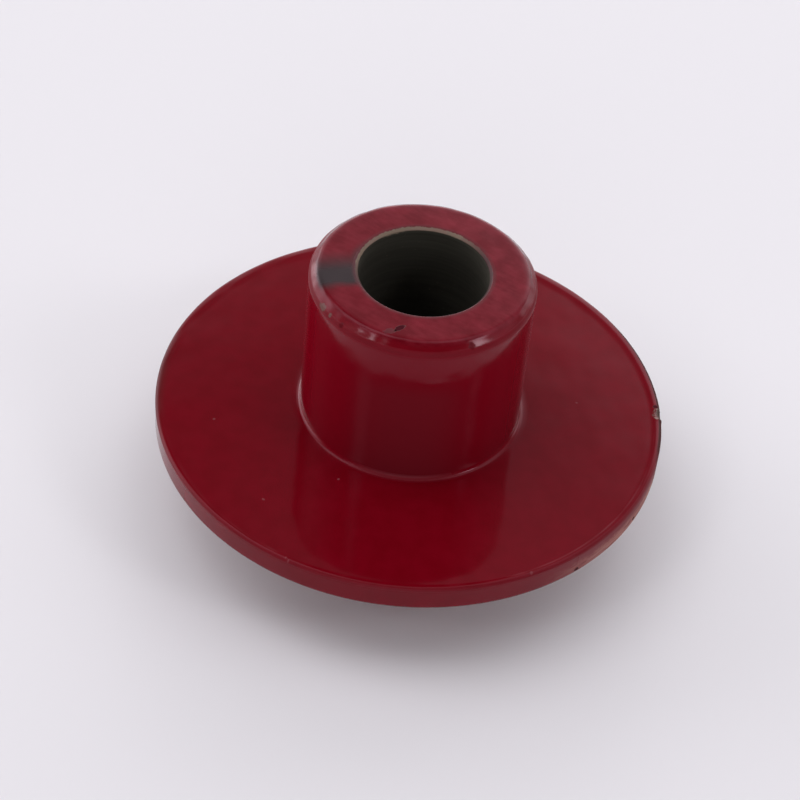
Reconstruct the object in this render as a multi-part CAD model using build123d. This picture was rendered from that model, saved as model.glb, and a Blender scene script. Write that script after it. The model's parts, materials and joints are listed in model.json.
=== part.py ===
"""Blade fixing bush for a rotary mower: a flanged sleeve, turned from one piece of steel.

A blade drops over the spigot and lies on the flange, and the bore takes the bolt or shaft that
holds the stack together. A short hub below the flange is what the bush stands on.
The frame's origin is the centre of the hub's lower face, and +Z runs up the bore.
"""

import math
import os

from build123d import *

# Driving dimensions, in millimetres.
FLANGE_DIAMETER = 80.0
FLANGE_THICKNESS = 4.2
SPIGOT_DIAMETER = 34.6
SPIGOT_HEIGHT = 27.0
HUB_DIAMETER = 34.6
HUB_HEIGHT = 12.8
BORE_DIAMETER = 20.0

# Edge treatments left by the lathe tool.
SPIGOT_CHAMFER = 1.4
HUB_CHAMFER = 1.0
BORE_CHAMFER = 0.4
ROOT_FILLET = 0.6
RIM_ROUND = 0.5

# One knock on the flange's upper edge: its bearing from +X about +Z, in degrees, and its size.
NICK_BEARING = 4.7
NICK_RADIUS = 1.35
NICK_BITE = 0.85

# Levels along the bore, from the hub's lower face up.
FLANGE_BOTTOM = HUB_HEIGHT
FLANGE_TOP = FLANGE_BOTTOM + FLANGE_THICKNESS
SPIGOT_END = FLANGE_TOP + SPIGOT_HEIGHT

FLANGE_RADIUS = FLANGE_DIAMETER / 2
SPIGOT_RADIUS = SPIGOT_DIAMETER / 2
HUB_RADIUS = HUB_DIAMETER / 2
BORE_RADIUS = BORE_DIAMETER / 2


def turned_blank():
    """The half section with plain corners, swept once round the bore's axis."""
    half_section = Polyline(
        (BORE_RADIUS, 0),
        (HUB_RADIUS, 0),
        (HUB_RADIUS, FLANGE_BOTTOM),
        (FLANGE_RADIUS, FLANGE_BOTTOM),
        (FLANGE_RADIUS, FLANGE_TOP),
        (SPIGOT_RADIUS, FLANGE_TOP),
        (SPIGOT_RADIUS, SPIGOT_END),
        (BORE_RADIUS, SPIGOT_END),
        close=True,
    )
    return revolve(make_face(Plane.XZ * half_section), Axis.Z)


def rings(solid, *corners):
    """The solid's round edges at the given corners, each a radius and a level."""
    round_edges = solid.edges().filter_by(GeomType.CIRCLE)

    def distance_to(corner):
        return lambda edge: math.dist((edge.radius, edge.arc_center.Z), corner)

    return [round_edges.sort_by(distance_to(corner))[0] for corner in corners]


def edged(blank):
    """The blank with its chamfers, its root fillets and its softened rim."""
    bush = chamfer(rings(blank, (SPIGOT_RADIUS, SPIGOT_END)), SPIGOT_CHAMFER)
    bush = chamfer(rings(bush, (HUB_RADIUS, 0)), HUB_CHAMFER)
    bush = chamfer(rings(bush, (BORE_RADIUS, 0), (BORE_RADIUS, SPIGOT_END)), BORE_CHAMFER)
    bush = fillet(rings(bush, (SPIGOT_RADIUS, FLANGE_TOP), (HUB_RADIUS, FLANGE_BOTTOM)), ROOT_FILLET)
    return fillet(rings(bush, (FLANGE_RADIUS, FLANGE_TOP), (FLANGE_RADIUS, FLANGE_BOTTOM)), RIM_ROUND)


def nick():
    """The ball that takes the knock out of the flange's upper edge, square to its corner."""
    stand_off = (NICK_RADIUS - NICK_BITE) * math.sqrt(0.5)
    place = Pos(FLANGE_RADIUS + stand_off, 0, FLANGE_TOP + stand_off)
    return Rot(0, 0, NICK_BEARING) * place * Sphere(NICK_RADIUS)


blade_fixing_bush = edged(turned_blank()) - nick()

os.makedirs("parts", exist_ok=True)
export_step(blade_fixing_bush, "parts/blade_fixing_bush.step")
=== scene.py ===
"""A blade fixing bush in thick red enamel, on a pale floor under soft window light."""
import json
import math

import bpy
import numpy as np
from mathutils import Matrix, Vector


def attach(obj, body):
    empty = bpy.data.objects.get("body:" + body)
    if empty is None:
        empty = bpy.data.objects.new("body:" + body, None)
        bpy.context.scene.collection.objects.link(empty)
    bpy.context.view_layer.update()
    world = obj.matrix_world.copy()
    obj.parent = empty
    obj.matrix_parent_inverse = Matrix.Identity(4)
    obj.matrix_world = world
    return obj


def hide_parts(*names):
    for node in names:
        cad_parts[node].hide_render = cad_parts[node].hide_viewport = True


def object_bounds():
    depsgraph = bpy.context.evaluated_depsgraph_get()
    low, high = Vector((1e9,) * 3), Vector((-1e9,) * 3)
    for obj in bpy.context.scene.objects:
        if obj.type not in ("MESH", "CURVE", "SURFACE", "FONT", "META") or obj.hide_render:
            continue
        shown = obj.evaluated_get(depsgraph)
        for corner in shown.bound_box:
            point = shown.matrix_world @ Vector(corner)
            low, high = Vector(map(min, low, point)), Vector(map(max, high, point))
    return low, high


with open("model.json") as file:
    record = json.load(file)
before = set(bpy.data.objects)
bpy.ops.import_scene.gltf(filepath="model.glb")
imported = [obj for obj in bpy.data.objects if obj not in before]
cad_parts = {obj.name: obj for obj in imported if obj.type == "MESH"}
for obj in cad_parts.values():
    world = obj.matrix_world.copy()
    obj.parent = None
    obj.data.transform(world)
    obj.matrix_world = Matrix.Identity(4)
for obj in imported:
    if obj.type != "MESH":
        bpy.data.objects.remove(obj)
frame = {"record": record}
cad_low, cad_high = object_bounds()

# The bush: one piece of turned steel, a flange with a spigot above it and a hub below, bored through.
# It is coated all over in thick red enamel, which rounds its corners and gathers in a bead along the
# rim. The bore was masked, and the paint is smeared, chipped and worn where the bush has been handled.
NODE = "blade_fixing_bush"
MM = 0.001

# Sizes of the turned steel, in millimetres.
mounts = {mount["name"]: mount for mount in frame["record"]["mounts"]}
BORE_RADIUS = mounts["bore"]["dims"]["r_mm"]
SPIGOT_RADIUS = mounts["spigot"]["dims"]["r_mm"]
SPIGOT_END = mounts["end_face"]["pos_m"][2] / MM
FLANGE_TOP = mounts["blade_seat"]["pos_m"][2] / MM
FLANGE_RADIUS = (cad_high.x - cad_low.x) / 2 / MM
FLANGE_THICKNESS = 4.2
FLANGE_BOTTOM = FLANGE_TOP - FLANGE_THICKNESS
HUB_RADIUS = SPIGOT_RADIUS
SPIGOT_CHAMFER = 1.4
HUB_CHAMFER = 1.0
BORE_CHAMFER = 0.4

# Room kept inside the bush's full size: at the rim for the burr, and on the end face for the paint's ripples.
BURR_ROOM = 0.05
RIPPLE_ROOM = 0.05
RIM_RADIUS = FLANGE_RADIUS - BURR_ROOM
END_LEVEL = SPIGOT_END - RIPPLE_ROOM

# Roundings of the corners under the paint, and the width of the flange's outer strip, which has closer rings.
BORE_ROUND = 0.1
MOUTH_ROUND = 0.15
CHAMFER_TOP_ROUND = 1.1
CHAMFER_FOOT_ROUND = 1.2
SPIGOT_ROOT_ROUND = 0.7
RIM_TOP_ROUND = 0.55
RIM_FOOT_ROUND = 0.4
HUB_ROOT_ROUND = 0.6
HUB_FOOT_ROUND = 0.3
RIM_STRIP = 3.6

# A corner of the half section: its radius and level, its rounding, and the spacing of the rings after it.
SECTION = [
    (BORE_RADIUS, BORE_CHAMFER, BORE_ROUND, 6.0),
    (BORE_RADIUS, END_LEVEL - BORE_CHAMFER, BORE_ROUND, 0.25),
    (BORE_RADIUS + BORE_CHAMFER, END_LEVEL, MOUTH_ROUND, 0.5),
    (SPIGOT_RADIUS - SPIGOT_CHAMFER, END_LEVEL, CHAMFER_TOP_ROUND, 0.2),
    (SPIGOT_RADIUS, END_LEVEL - SPIGOT_CHAMFER, CHAMFER_FOOT_ROUND, 0.5),
    (SPIGOT_RADIUS, FLANGE_TOP, SPIGOT_ROOT_ROUND, 0.8),
    (RIM_RADIUS - RIM_STRIP, FLANGE_TOP, 0.0, 0.15),
    (RIM_RADIUS, FLANGE_TOP, RIM_TOP_ROUND, 0.35),
    (RIM_RADIUS, FLANGE_BOTTOM, RIM_FOOT_ROUND, 2.5),
    (HUB_RADIUS, FLANGE_BOTTOM, HUB_ROOT_ROUND, 2.0),
    (HUB_RADIUS, HUB_CHAMFER, HUB_FOOT_ROUND, 0.5),
    (HUB_RADIUS - HUB_CHAMFER, 0.0, HUB_FOOT_ROUND, 2.0),
    (BORE_RADIUS + BORE_CHAMFER, 0.0, MOUTH_ROUND, 0.5),
]
ARC_STEPS = 7


def rounded_section(corners, steps):
    """A closed half section: straight runs between the corners, each corner replaced by the arc that is
    tangent to both its runs. Gives the rings' radii and levels as two arrays."""
    points = np.array([corner[:2] for corner in corners])
    to_next = np.roll(points, -1, axis=0) - points
    heading = to_next / np.linalg.norm(to_next, axis=1)[:, None]
    arcs = []
    for point, before, after, corner in zip(points, np.roll(heading, 1, axis=0), heading, corners):
        rounding = corner[2]
        turn = np.arctan2(before[0] * after[1] - before[1] * after[0], before @ after)
        half_turn = abs(turn) / 2
        sweep = half_turn * np.linspace(-1, 1, steps if rounding else 1)[:, None]
        inward = (after - before) / max(np.linalg.norm(after - before), 1e-9)
        along = (after + before) / np.linalg.norm(after + before)
        centre = point + inward * rounding / math.cos(half_turn)
        arcs.append(centre + rounding * (np.sin(sweep) * along - np.cos(sweep) * inward))
    rings = []
    for arc, following, corner in zip(arcs, arcs[1:] + arcs[:1], corners):
        spacing = corner[3]
        run = following[0] - arc[-1]
        count = max(1, round(float(np.linalg.norm(run)) / spacing))
        rings += [arc, arc[-1] + run * np.linspace(0, 1, count + 1)[1:-1, None]]
    return np.concatenate(rings).T


def section_normals(radii, levels):
    """The outward normal at each ring, out and up: the run from the ring before to the ring after, turned
    a quarter and made one unit long."""
    run_out = np.roll(radii, -1) - np.roll(radii, 1)
    run_up = np.roll(levels, -1) - np.roll(levels, 1)
    length = np.hypot(run_out, run_up)
    return -run_up / length, run_out / length


def lathe(radii, levels, bearings):
    """The section turned about Z: ring i at bearing j is (r cos, r sin, z), as points of shape (i, j, 3)."""
    turned = np.stack([np.cos(bearings), np.sin(bearings), np.zeros_like(bearings)], axis=-1)
    points = radii[:, None, None] * turned[None]
    points[..., 2] = levels[:, None]
    return points


def hump(distance, width):
    """A bell of height one: e to the power of minus the square of the distance in widths."""
    return np.exp(-(distance / width) ** 2)


# Ripples in the paint: their height and wavelength, and the seed of their directions.
FINE_RIPPLE = (0.0015, 3.4, 1)
BROAD_RIPPLE = (0.004, 8.0, 2)
BEAD_RIPPLE = (0.15, 6.0, 3)
CHAMFER_RIPPLE = (0.022, 2.6, 4)
WALL_RIPPLE = (0.006, 3.2, 5)
RIPPLE_WAVES = 12


def ripple(points, height, wavelength, seed):
    """Smooth unevenness: the sum of plane sine waves of one length, in seeded directions and phases."""
    random = np.random.default_rng(seed)
    directions = random.normal(size=(RIPPLE_WAVES, 3))
    directions *= 2 * np.pi / wavelength / np.linalg.norm(directions, axis=1)[:, None]
    phases = random.uniform(0, 2 * np.pi, RIPPLE_WAVES)
    return height * (np.sin(points @ directions.T + phases).sum(axis=-1) * math.sqrt(2 / RIPPLE_WAVES))


# The bead that the paint gathers in along the rim: its height, its mean distance from the rim, how much that
# grows to the back and shrinks to the front, and its width as a share of that distance. The paint falls away
# past it by a depth, over a width. Bead and fall are fullest at the right and weakest at the left, and they
# lie on the rings from just below the flange's upper face to just above it.
BEAD_HEIGHT = 0.1
BEAD_INSET = 0.85
BEAD_SWING = 0.45
BEAD_WIDTH = 0.6
FALL_DEPTH = 0.07
FALL_WIDTH = 2.6
BEAD_MEAN = 0.6
BEAD_TO_RIGHT = 0.4
BEAD_BELOW = 0.7
BEAD_ABOVE = 0.3


def rim_paint(points, radii, levels, upward, bearings):
    """Paint by the rim: a bell whose distance from the rim follows the sine of the bearing, less a fall that
    grows with the square of the way to the rim, both scaled by the cosine of the bearing and by ripples."""
    by_rim = (levels > FLANGE_TOP - BEAD_BELOW) & (levels < FLANGE_TOP + BEAD_ABOVE)
    inset = RIM_RADIUS - radii
    bead_inset = BEAD_INSET + BEAD_SWING * np.sin(bearings)
    bead = BEAD_HEIGHT * hump(inset[:, None] - bead_inset, BEAD_WIDTH * bead_inset)
    fall = FALL_DEPTH * upward.clip(0, 1) * (1 - inset / FALL_WIDTH).clip(0, 1) ** 2
    amount = BEAD_MEAN + BEAD_TO_RIGHT * np.cos(bearings) + ripple(points, *BEAD_RIPPLE)
    return by_rim[:, None] * (bead - fall[:, None]) * amount


# Sags where the paint ran down the spigot: bearing, level, half width, half height and thickness.
SAGS = [
    (-78.4, 36.8, 2.6, 0.6, 0.02),
    (-93.2, 27.6, 2.4, 0.8, 0.03),
    (-125.0, 29.0, 1.2, 2.2, 0.015),
    (-35.0, 38.0, 0.8, 1.6, 0.02),
    (62.0, 31.0, 2.2, 0.9, 0.025),
    (141.0, 35.5, 1.8, 0.8, 0.025),
]
# How far down the wall its ripples reach, how near to the spigot's radius the wall's rings lie, the width of
# the bell of paint over the chamfer, and how much has rubbed off there.
RIPPLE_REACH = 9.0
WALL_DEPTH = 0.3
CHAMFER_WIDTH = 0.8
CHAMFER_RUBBED = 0.04


def spigot_paint(points, radii, levels, bearings):
    """Paint on the spigot: ripples that fade down the wall, sags that are bells across and down, and on the
    chamfer a bell of ripples less what has rubbed off."""
    wall = (np.abs(radii - SPIGOT_RADIUS) < WALL_DEPTH)[:, None]
    lift = wall * hump(levels - END_LEVEL, RIPPLE_REACH)[:, None] * ripple(points, *WALL_RIPPLE)
    for bearing, level, half_width, half_height, thickness in SAGS:
        turn = bearings - math.radians(bearing)
        across = (np.cos(turn) > 0) * hump(SPIGOT_RADIUS * np.sin(turn), half_width)
        down = (levels > FLANGE_TOP) * hump(levels - level, half_height)
        lift += wall * thickness * down[:, None] * across
    middle_radius = SPIGOT_RADIUS - SPIGOT_CHAMFER / 2
    middle_level = SPIGOT_END - SPIGOT_CHAMFER / 2
    chamfer = hump(np.hypot(radii - middle_radius, levels - middle_level), CHAMFER_WIDTH)
    return lift + chamfer[:, None] * (ripple(points, *CHAMFER_RIPPLE) - CHAMFER_RUBBED)


# The knock in the rim's upper edge, a ball pressed square into the corner, and the burr it threw up.
NICK_BEARING = 4.7
NICK_RADIUS = 1.35
NICK_BITE = 0.85
NICK_STAND_OFF = (NICK_RADIUS - NICK_BITE) * math.sqrt(0.5)
BURR_BEARING = 2.9
BURR_LENGTH = 0.45
BURR_HEIGHT = 0.09
BURR_DROP = 0.7
BURR_WIDTH = 0.8


def knocked(points):
    """Every point inside the ball moves straight out from the ball's middle to its surface."""
    bearing = math.radians(NICK_BEARING)
    out = RIM_RADIUS + NICK_STAND_OFF
    ball = np.array([out * math.cos(bearing), out * math.sin(bearing), FLANGE_TOP + NICK_STAND_OFF])
    from_ball = points - ball
    distance = np.linalg.norm(from_ball, axis=-1, keepdims=True)
    return np.where(distance < NICK_RADIUS, ball + from_ball / distance * NICK_RADIUS, points)


def burr(radii, levels, bearings):
    """The burr's height: a bell along the rim, times a bell round a ring just under its upper edge."""
    along = (np.degrees(bearings) - BURR_BEARING) * np.radians(1) * RIM_RADIUS
    off_edge = np.hypot(radii - RIM_RADIUS, levels - FLANGE_TOP + BURR_DROP)
    return BURR_HEIGHT * hump(along, BURR_LENGTH)[None] * hump(off_edge, BURR_WIDTH)[:, None]


# Degrees from one point of a ring to the next, all round and beside the nick, and how far to each side of
# the nick the closer points go on.
BEARING_STEP = 1.0
NICK_STEP = 0.12
NICK_SPAN = 3.5


def painted_bush():
    """The turned section with its paint: points move along the section's normal by the ripples, the bead and
    the sags, the nick's ball pushes points aside, and the burr stands out beside it. The ripples fade in over
    a millimetre above the flange's lower face, and there are none in the bore."""
    radii, levels = rounded_section(SECTION, ARC_STEPS)
    outward, upward = section_normals(radii, levels)
    coarse = np.arange(0, 360, BEARING_STEP)
    fine = NICK_BEARING + np.arange(-NICK_SPAN, NICK_SPAN, NICK_STEP)
    bearings = np.radians(np.unique(np.round(np.concatenate([coarse, fine]) % 360, 3)))
    points = lathe(radii, levels, bearings)
    normals = lathe(outward, upward, bearings)

    rippled = np.clip(levels - FLANGE_BOTTOM, 0, 1) * (radii > BORE_RADIUS + BORE_CHAMFER / 2)
    lift = rippled[:, None] * (ripple(points, *FINE_RIPPLE) + ripple(points, *BROAD_RIPPLE))
    lift += rim_paint(points, radii, levels, upward, bearings)
    lift += spigot_paint(points, radii, levels, bearings)
    points = knocked(points + normals * lift[..., None])
    return points + normals * burr(radii, levels, bearings)[..., None]


def woven_mesh(name, points):
    """A closed mesh over a grid of points that wraps both ways: each cell is one face, seen from outside."""
    rings, around = points.shape[:2]
    index = np.arange(rings * around).reshape(rings, around)
    ahead = np.roll(index, -1, axis=0)
    faces = np.stack([index, ahead, np.roll(ahead, -1, axis=1), np.roll(index, -1, axis=1)], axis=-1)
    mesh = bpy.data.meshes.new(name)
    mesh.from_pydata((points.reshape(-1, 3) * MM).tolist(), [], faces.reshape(-1, 4).tolist())
    mesh.shade_smooth()
    return mesh


class Signal:
    """One socket of a node tree. Arithmetic on it adds Math nodes, and node() adds any other kind."""

    def __init__(self, tree, socket=None):
        self.tree = tree
        self.socket = socket

    def node(self, kind, settings, sockets, output=0):
        """Adds a node, applies its settings, then sets or links its sockets. Gives the named output."""
        made = self.tree.nodes.new(kind)
        for name, value in settings.items():
            setattr(made, name, value)
        for name, value in sockets.items():
            self.feed(made.inputs[name], value)
        return Signal(self.tree, made.outputs[output])

    def feed(self, socket, value):
        """Links a signal to a socket, or sets the socket to a plain value."""
        if isinstance(value, Signal):
            self.tree.links.new(value.socket, socket)
        else:
            socket.default_value = value

    def math(self, operation, *values):
        """Adds a Math node that works on numbers and signals."""
        return self.node("ShaderNodeMath", {"operation": operation}, dict(enumerate(values)))

    def __add__(self, other):
        return self.math("ADD", self, other)

    def __radd__(self, other):
        return self.math("ADD", other, self)

    def __sub__(self, other):
        return self.math("SUBTRACT", self, other)

    def __rsub__(self, other):
        return self.math("SUBTRACT", other, self)

    def __mul__(self, other):
        return self.math("MULTIPLY", self, other)

    def __rmul__(self, other):
        return self.math("MULTIPLY", other, self)

    def __pow__(self, other):
        return self.math("POWER", self, other)

    def above(self, edge, softness):
        """0 below the edge and 1 above it, with a smooth step of the given width between."""
        return self.node(
            "ShaderNodeMapRange",
            {"interpolation_type": "SMOOTHSTEP"},
            {"Value": self, "From Min": edge - softness / 2, "From Max": edge + softness / 2},
        )

    def below(self, edge, softness):
        """1 below the edge and 0 above it, with a smooth step of the given width between."""
        return 1 - self.above(edge, softness)

    def blend(self, start, end):
        """The colour start where this is 0, and end where it is 1. In a Mix node the colours go into
        sockets 6 and 7, and their mixture comes out of socket 2."""
        return self.node("ShaderNodeMix", {"data_type": "RGBA"}, {0: self, 6: start, 7: end}, 2)


def colour(red, green, blue):
    """A colour read off a screen, 0 to 255, as the linear light that shaders work in."""
    screen = np.array([red, green, blue]) / 255
    linear = np.where(screen <= 0.04045, screen / 12.92, ((screen + 0.055) / 1.055) ** 2.4)
    return (*linear.tolist(), 1.0)


# The enamel: fresh on the flange and the wall, rubbed and chalky on the end face, dull and worn in places.
# The wall's lighter red is painted side light, with a painted pale sheen on its front, and a painted brown
# shade lies on the rim.
ENAMEL = colour(108, 3, 18)
ENAMEL_DEEP = colour(103, 2, 15)
# A lighter red for the spigot's upright wall: painted light from the sides.
ENAMEL_PAINTED_SIDE_LIGHT = colour(114, 3, 20)
# A pale pinkish tint for the front of the wall: a painted sheen.
ENAMEL_RUBBED = colour(96, 4, 17)
ENAMEL_CHALKY = colour(122, 28, 40)
ENAMEL_PAINTED_SHEEN = colour(94, 38, 44)
ENAMEL_DULL = colour(70, 8, 14)
ENAMEL_WORN = colour(164, 112, 98)
FEATHERED_EDGE = colour(84, 38, 40)
MOUTH = colour(64, 38, 36)
MOUTH_WORN = colour(128, 108, 95)
# A dark brown painted on the rim as shade.
PAINTED_SHADE_BROWN = colour(58, 38, 34)
GREASE = colour(34, 34, 34)
GREY_WEAR = colour(98, 76, 68)
DUST = colour(160, 112, 116)

# The steel where it is bare: two tones in the bore, bright where scraped, duller in the nick, dark in a chip.
STEEL = colour(94, 92, 83)
STEEL_DARK = colour(86, 84, 76)
STEEL_BRIGHT = colour(168, 152, 136)
STEEL_NICKED = colour(140, 124, 116)
CHIP = colour(62, 22, 25)

# Marks in the paint: bearing and radius of the middle, its level, the half lengths out, across and up,
# and the turn of the mark about the upright through its middle.
CHIPS = [
    (-101.2, 13.8, 44.0, (0.95, 0.45, 1.0), 143),
    (-25.6, 40.0, 13.8, (0.8, 0.4, 0.35), 0),
    (-46.4, 40.0, 13.5, (0.8, 0.5, 0.3), 0),
    (2.9, 40.1, 16.5, (0.35, 0.6, 0.5), 0),
    (7.0, 39.2, 17.0, (0.35, 0.4, 0.4), 0),
    (155.0, 40.0, 16.6, (0.8, 0.4, 0.35), 0),
    (96.0, 39.9, 13.4, (0.8, 0.7, 0.3), 0),
]
DULL_SPOTS = [
    (-61.0, 16.9, 43.2, (0.6, 0.5, 0.6), 0),
    (-131.0, 17.2, 42.7, (0.5, 0.4, 0.4), 0),
    (-105.6, 14.9, 44.0, (0.5, 1.0, 1.0), 40),
]
GREY_SPOTS = [
    (-147.0, 17.2, 42.8, (0.6, 0.8, 0.6), 0),
    (-140.0, 17.2, 42.8, (0.4, 0.3, 0.4), 0),
    (74.0, 17.0, 43.0, (0.5, 0.6, 0.5), 0),
]
DUST_SPECKS = [
    (-163.2, 31.2, 17.0, (0.28, 0.2, 0.5), 20),
    (-129.0, 32.2, 17.0, (0.2, 0.25, 0.5), 0),
    (-116.4, 21.3, 17.0, (0.22, 0.18, 0.5), 0),
    (8.0, 26.6, 17.0, (0.2, 0.2, 0.5), 0),
    (-112.4, 39.7, 16.7, (0.3, 0.16, 0.25), 0),
    (-113.2, 39.5, 16.9, (0.2, 0.14, 0.2), 0),
    (-58.7, 39.6, 16.8, (0.3, 0.25, 0.25), 0),
    (-173.0, 16.3, 43.4, (0.25, 1.6, 0.6), 0),
    (100.0, 29.0, 17.0, (0.2, 0.22, 0.5), 0),
]
SCRAPES = [
    (122.0, 10.2, 43.8, (0.8, 3.0, 0.5), 0),
    (66.0, 10.2, 43.8, (0.6, 1.3, 0.4), 0),
    (165.0, 10.2, 43.8, (0.6, 2.2, 0.4), 0),
]
NICK_FACE = 1.15 * NICK_RADIUS
NICK_MARK = (NICK_BEARING, RIM_RADIUS + NICK_STAND_OFF, FLANGE_TOP + NICK_STAND_OFF, (NICK_FACE,) * 3, 0)
SMEAR_BEARING = math.radians(-166.5)
# How far grit frays a mark's edge, and the width that the edge fades over, as shares of the mark's half size.
MARK_FRAY = 1.2
MARK_FADE = 0.4

# The enamel's gloss as a roughness, the share and roughness of the clear skin where the paint lies thick,
# and how strongly and in what tint it mirrors the room.
GLOSS = 0.09
THICK_COAT = 0.35
THICK_COAT_ROUGHNESS = 0.14
ENAMEL_IOR = 1.33
SHEEN_TINT = (1.0, 0.6, 0.72, 1.0)

finish = bpy.data.materials.new("red_enamel")
finish.use_nodes = True
paint = Signal(finish.node_tree)
metres = paint.node("ShaderNodeTexCoord", {}, {}, "Object")
place = paint.node("ShaderNodeVectorMath", {"operation": "SCALE"}, {"Vector": metres, "Scale": 1 / MM})
x, y, z = [paint.node("ShaderNodeSeparateXYZ", {}, {"Vector": place}, axis) for axis in "XYZ"]
radius = (x * x + y * y) ** 0.5


def noise(scale, detail=2.0, at=place):
    """Blender's noise, about 0.5 on average: waves to the millimetre, and how many finer ones it adds."""
    return paint.node("ShaderNodeTexNoise", {}, {"Vector": at, "Scale": scale, "Detail": detail})


def stretched(turn, scales):
    """Places turned about the bore by degrees and then drawn out along each axis."""
    turned = {"Vector": place, "Rotation": (0, 0, math.radians(turn)), "Scale": scales}
    return paint.node("ShaderNodeMapping", {"vector_type": "TEXTURE"}, turned)


def any_of(masks):
    """1 where any of the masks is 1: the highest of them."""
    highest, *others = masks
    for another in others:
        highest = paint.math("MAXIMUM", highest, another)
    return highest


grit = noise(2.2, 3.0) - 0.5
blotches = noise(0.3, 3.0) - 0.5
streaks = noise(1.3, 2.0, stretched(-30, (3.0, 1.0, 1.0))) - 0.5
turned_rings = noise(1.0, 2.0, stretched(0, (20.0, 20.0, 0.35)))
scuffs = noise(1.0, 4.0, stretched(0, (2.5, 2.5, 0.35)))


def mark(bearing, out, level, halves, turn):
    """1 inside an ellipsoid round a point of the surface, 0 outside it, with an edge that grit breaks up."""
    facing = math.radians(bearing)
    local = paint.node("ShaderNodeMapping", {"vector_type": "TEXTURE"}, {
        "Vector": place,
        "Location": (out * math.cos(facing), out * math.sin(facing), level),
        "Rotation": (0, 0, facing + math.radians(turn)),
        "Scale": halves,
    })
    reach = paint.node("ShaderNodeVectorMath", {"operation": "LENGTH"}, {0: local}, "Value")
    return (reach + MARK_FRAY * grit).below(1.0, MARK_FADE)


def marks(rows):
    """1 inside any of the marks in a list."""
    return any_of([mark(*row) for row in rows])


# Zones of the bush, each 1 inside and 0 outside. An edge is a place and the width it fades over.
end_face = z.above(END_LEVEL - 0.5, 0.7)
chamfer_up = z.above(END_LEVEL - SPIGOT_CHAMFER - 0.4, 0.6)
chamfer_low = z.above(END_LEVEL - 1.1, 0.3)
under_chamfer = z.above(END_LEVEL - 2.2, 0.6) * (1 - chamfer_low)
wall_up = z.above(FLANGE_TOP + 0.3, 0.6)
wall_skin = radius.below(SPIGOT_RADIUS + 0.4, 0.2)
# The lower front of the wall, up to about 36 mm, which carries a painted sheen.
wall_front_sheen = wall_up * wall_skin * z.below(36.0, 6.0) * y.below(-15.5, 4.0)
root_band = z.above(FLANGE_TOP - 0.5, 0.4) * z.below(FLANGE_TOP + 0.8, 0.4)
root_front = root_band * radius.below(SPIGOT_RADIUS + 0.9, 0.3) * y.below(-15.5, 3.0)
rim_side = radius.above(RIM_RADIUS - 0.2, 0.2) * z.below(FLANGE_TOP - 0.6, 0.6)
rim_edge = radius.above(RIM_RADIUS - 0.4, 0.3) * z.above(FLANGE_TOP - 0.7, 0.4)
rim_right = rim_side * (x - 0.3 * y).above(37.0, 11.0)

# Along the rim: paint scuffed off low down on the right, and painted shade on the far right edge and at the
# left.
worn = rim_right * (z + 1.6 * grit).below(FLANGE_BOTTOM + 2.1, 1.6) * scuffs.above(0.42, 0.2)
far_right = (x + 0.25 * y + 2.0 * grit + 4.0 * blotches).above(37.4, 2.4)
# Painted shade along the rim's far right edge.
right_edge_shade = radius.above(RIM_RADIUS - 0.5, 0.25) * far_right
# Painted shade over the rim's far left, broken up by blotches.
left_rim_shade = radius.above(RIM_RADIUS - 1.2, 2.0) * (x + 3.0 * blotches).below(-38.4, 2.8)

# How chalky the end face is: a quarter on average, varied by blotches and by the streaks of rubbing.
chalk = 0.26 + 2.0 * blotches + 0.9 * streaks

# A smear of grease across the end face, from the bore's mouth to the chamfer, wider where it was rubbed.
across = y * math.cos(SMEAR_BEARING) - x * math.sin(SMEAR_BEARING) + 1.4 * blotches
wiped = across.above(-3.4, 5.6) * across.below(2.4, 2.4) * x.below(-8.5, 1.5)
rubbed = across.above(-6.0, 5.0) * across.below(1.0, 1.5) * x.below(-8.0, 1.0) * radius.below(11.3, 1.6)
smear = end_face * any_of([wiped, 0.7 * rubbed]) * (radius + 0.8 * grit).below(SPIGOT_RADIUS - 0.8, 0.7)

# The bore's mouth, where the paint feathers out to a bare lip that is brightest where it was handled.
mouth = radius + 0.35 * grit
feather = end_face * mouth.below(BORE_RADIUS + 0.8, 0.6)
lip = mouth.below(BORE_RADIUS + 0.9 * BORE_CHAMFER, 0.15)
lip_colour = (y - 0.5 * x).above(4.0, 10.0).blend(MOUTH, MOUTH_WORN)

# Bare steel: the masked bore, scrapes on its lip, the nick and the chips.
bore = mouth.below(BORE_RADIUS + 0.1, 0.1) * z.below(END_LEVEL - 0.5, 0.2)
scraped = lip * marks(SCRAPES)
knock = mark(*NICK_MARK)
chips = marks(CHIPS)
bare = any_of([bore, scraped, knock, chips])
dull_spots = marks(DULL_SPOTS)


def layered(base, layers):
    """The base colour with each layer blended over it in turn: its mask, how well it covers, its colour."""
    for mask, cover, tint in layers:
        base = (cover * mask).blend(base, tint)
    return base


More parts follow.
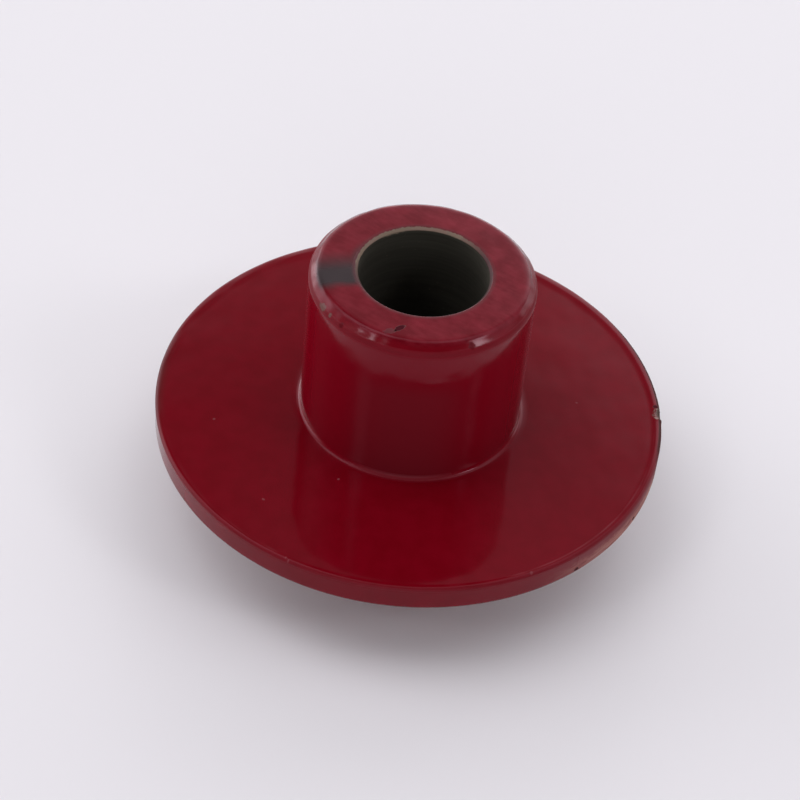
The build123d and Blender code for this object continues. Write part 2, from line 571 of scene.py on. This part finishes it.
steel = layered(turned_rings.above(0.5, 0.5).blend(STEEL, STEEL_DARK), [
    (scraped, 1.0, STEEL_BRIGHT),
    (knock, 1.0, STEEL_NICKED),
    (chips, 1.0, CHIP),
])
red = layered(noise(0.3).above(0.5, 0.4).blend(ENAMEL, ENAMEL_DEEP), [
    # The spigot's wall is painted a lighter red, standing in for the light it takes from the sides.
    (wall_up - chamfer_up, 1.0, ENAMEL_PAINTED_SIDE_LIGHT),
    # A painted pale sheen over the wall's front.
    (wall_front_sheen, 0.35, ENAMEL_PAINTED_SHEEN),
    (end_face, 1.0, chalk.blend(ENAMEL_RUBBED, ENAMEL_CHALKY)),
    (worn, 0.85, ENAMEL_WORN),
    # Painted shade on the rim's far right edge.
    (right_edge_shade, 0.8, PAINTED_SHADE_BROWN),
    # Painted shade at the rim's left.
    (left_rim_shade, 0.45, PAINTED_SHADE_BROWN),
    (smear, 0.97, GREASE),
    (feather, 0.6, FEATHERED_EDGE),
    (lip, 1.0, lip_colour),
    (dull_spots, 0.6, ENAMEL_DULL),
    (marks(GREY_SPOTS), 0.75, GREY_WEAR),
    (marks(DUST_SPECKS), 0.22, DUST),
    (bare, 1.0, steel),
])

# What each zone or mark adds to the roughness of the gloss.
roughness = GLOSS
for mask, added in [
    (wall_up, 0.02),
    (chamfer_up, 0.07),
    (under_chamfer, 0.45),
    (root_front, 0.3),
    (rim_right, 0.45),
    (rim_edge, 0.35),
    (right_edge_shade, 0.4),
    (smear, 0.1),
    (feather, 0.05),
    (lip, 0.3),
    (dull_spots, 0.4),
    (bare, 0.4),
]:
    roughness = roughness + added * mask
thick = (chamfer_low - end_face) * y.below(-13.0, 4.0) * (1 - dull_spots)

enamel = finish.node_tree.nodes["Principled BSDF"]
paint.feed(enamel.inputs["Base Color"], red)
paint.feed(enamel.inputs["Metallic"], bare)
paint.feed(enamel.inputs["Roughness"], roughness)
paint.feed(enamel.inputs["Coat Weight"], THICK_COAT * thick)
enamel.inputs["Coat Roughness"].default_value = THICK_COAT_ROUGHNESS
enamel.inputs["IOR"].default_value = ENAMEL_IOR
enamel.inputs["Specular Tint"].default_value = SHEEN_TINT

bush = bpy.data.objects.new("bush", woven_mesh("bush", painted_bush()))
bpy.context.scene.collection.objects.link(bush)
bush.data.materials.append(finish)
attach(bush, "root")
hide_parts(NODE)

# The floor: one plain pale sheet, far wider than the view, that the hub's lower face stands on.
# It is matt, so it takes the bush's soft shadow and no reflection of it.
FLOOR_HALF = 8.0
FLOOR_COLOUR = colour(228, 226, 229)
FLOOR_ROUGHNESS = 0.6

floor_mesh = bpy.data.meshes.new("floor")
floor_corners = np.array([[-1, -1, 0], [1, -1, 0], [1, 1, 0], [-1, 1, 0]]) * FLOOR_HALF
floor_mesh.from_pydata(floor_corners.tolist(), [], [[0, 1, 2, 3]])
floor = bpy.data.objects.new("floor", floor_mesh)
bpy.context.scene.collection.objects.link(floor)
floor_finish = bpy.data.materials.new("floor")
floor_finish.use_nodes = True
floor_shader = floor_finish.node_tree.nodes["Principled BSDF"]
floor_shader.inputs["Base Color"].default_value = FLOOR_COLOUR
floor_shader.inputs["Roughness"].default_value = FLOOR_ROUGHNESS
floor_mesh.materials.append(floor_finish)

# The room: dim all round, with soft pale openings. The brightest is a window at the left, and others are
# behind, overhead, at the right and low in front.
ROOM_LEVEL = 0.05
ROOM_TINT = (1.0, 0.985, 1.02, 1.0)
# An opening's bearing and height in degrees, its inner and outer half angle, and its brightness.
OPENINGS = [
    (160, 12, 12, 36, 3.1),
    (133, 2, 4, 18, 3.0),
    (44, 8, 10, 33, 0.6),
    (4, 30, 6, 27, 1.0),
    (-139, 42, 2, 9, 6.0),
    (-162, 36, 4, 16, 0.5),
    (34, 8, 4, 13, 1.3),
    (-23, 37, 3, 10, 8.0),
    (170, 62, 8, 30, 2.2),
    (10, 62, 8, 30, 1.1),
    (0, 88, 10, 30, 0.85),
    (60, 45, 15, 32, 0.48),
    (70, 20, 20, 27.5, 1.2),
    (110, 20, 17, 27, 1.4),
    (90, 8, 8, 24, 2.2),
    (-90, 0, 12, 44, 2.1),
]

world = bpy.data.worlds.new("room")
bpy.context.scene.world = world
world.use_nodes = True
room = Signal(world.node_tree)
direction = room.node("ShaderNodeTexCoord", {}, {}, "Generated")
brightness = ROOM_LEVEL
for bearing, height, inner, outer, strength in OPENINGS:
    turn, tilt = math.radians(bearing), math.radians(height)
    level = math.cos(tilt)
    towards = Vector((level * math.cos(turn), level * math.sin(turn), math.sin(tilt)))
    both = {0: direction, 1: towards}
    facing = room.node("ShaderNodeVectorMath", {"operation": "DOT_PRODUCT"}, both, "Value")
    angle = room.math("ARCCOSINE", facing)
    opening = angle.below(math.radians((inner + outer) / 2), math.radians(outer - inner))
    brightness = brightness + strength * opening
background = world.node_tree.nodes["Background"]
background.inputs["Color"].default_value = ROOM_TINT
room.feed(background.inputs["Strength"], brightness)

# The camera stands in front and above, turned a little about its own line of sight, so the bush leans right.
# It looks at the middle of the flange's upper face, which lies a little off the middle of the picture.
PICTURE_PIXELS = 800
FOCAL_PIXELS = 2433.0
FLANGE_CENTRE_PIXEL = (409.9, 400.5)
CAMERA_DISTANCE = 383.6 * MM
CAMERA_HEIGHT = math.radians(43.31)
CAMERA_ROLL = math.radians(6.32)
SENSOR_WIDTH = 36.0
NEAREST_SEEN = 0.01

back = Vector((0, -math.cos(CAMERA_HEIGHT), math.sin(CAMERA_HEIGHT)))
level_right = Vector((1, 0, 0))
level_up = back.cross(level_right)
right = level_right * math.cos(CAMERA_ROLL) + level_up * math.sin(CAMERA_ROLL)
up = level_up * math.cos(CAMERA_ROLL) - level_right * math.sin(CAMERA_ROLL)
centre = Vector((0, 0, FLANGE_TOP * MM))
stand = centre + back * CAMERA_DISTANCE
pixel = CAMERA_DISTANCE / FOCAL_PIXELS
off_right, off_down = [(centred - PICTURE_PIXELS / 2) * pixel for centred in FLANGE_CENTRE_PIXEL]
back = (stand - (centre - right * off_right + up * off_down)).normalized()
right = up.cross(back).normalized()
up = back.cross(right)

camera = bpy.data.objects.new("camera", bpy.data.cameras.new("camera"))
bpy.context.scene.collection.objects.link(camera)
camera.data.sensor_width = SENSOR_WIDTH
camera.data.lens = SENSOR_WIDTH * FOCAL_PIXELS / PICTURE_PIXELS
camera.data.clip_start = NEAREST_SEEN
camera.matrix_world = Matrix.Translation(stand) @ Matrix((right, up, back)).transposed().to_4x4()
bpy.context.scene.camera = camera
bpy.context.scene.view_settings.view_transform = "Standard"
